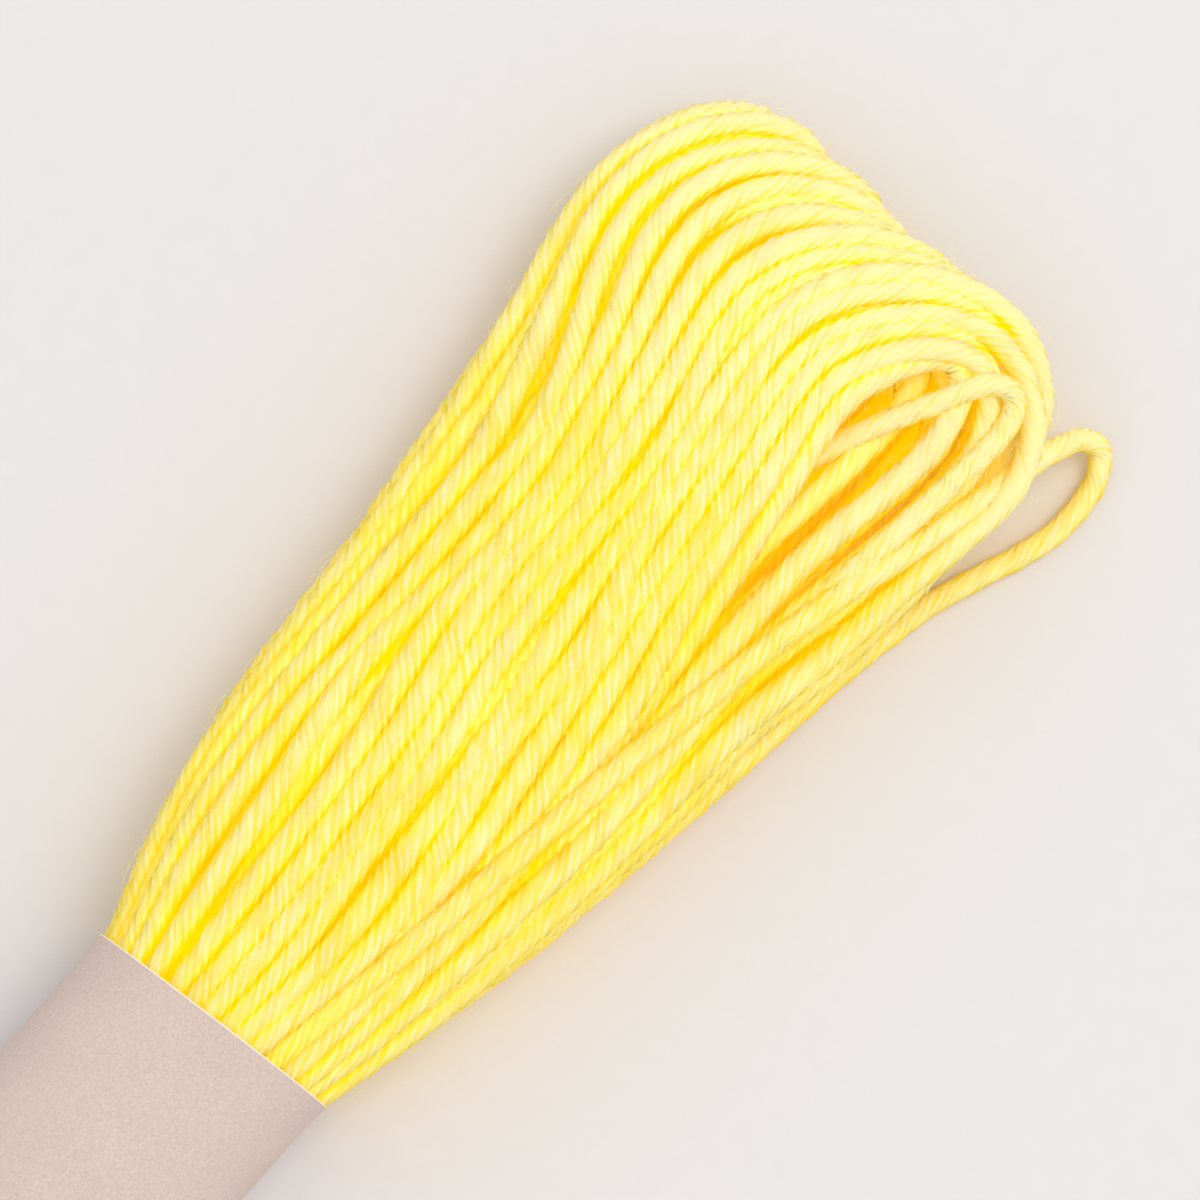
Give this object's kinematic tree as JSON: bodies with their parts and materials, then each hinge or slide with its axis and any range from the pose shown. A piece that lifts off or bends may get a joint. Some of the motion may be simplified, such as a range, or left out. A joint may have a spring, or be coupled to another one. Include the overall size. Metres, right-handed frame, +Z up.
{
  "type": "skein of sashiko thread",
  "caption": "Long skein of plied cotton thread wound into a flat loop, fanned out at both ends and held round its middle by a bare paper band, with one slack turn beside an end.",
  "frame": {"origin": "middle of the paper band's flat underside", "axes": "+X along the skein towards the end with the slack turn, +Y across it to the side away from the slack turn, +Z up"},
  "size_m": [0.1252, 0.024, 0.0095],
  "materials": {
    "thread": "lemon yellow cotton thread, plied, soft sheen",
    "paper": "plain beige uncoated paper"
  },
  "bodies": {
    "root": {"hank": "thread", "paper_band": "paper", "slack_turn": "thread"}
  },
  "joints": []
}
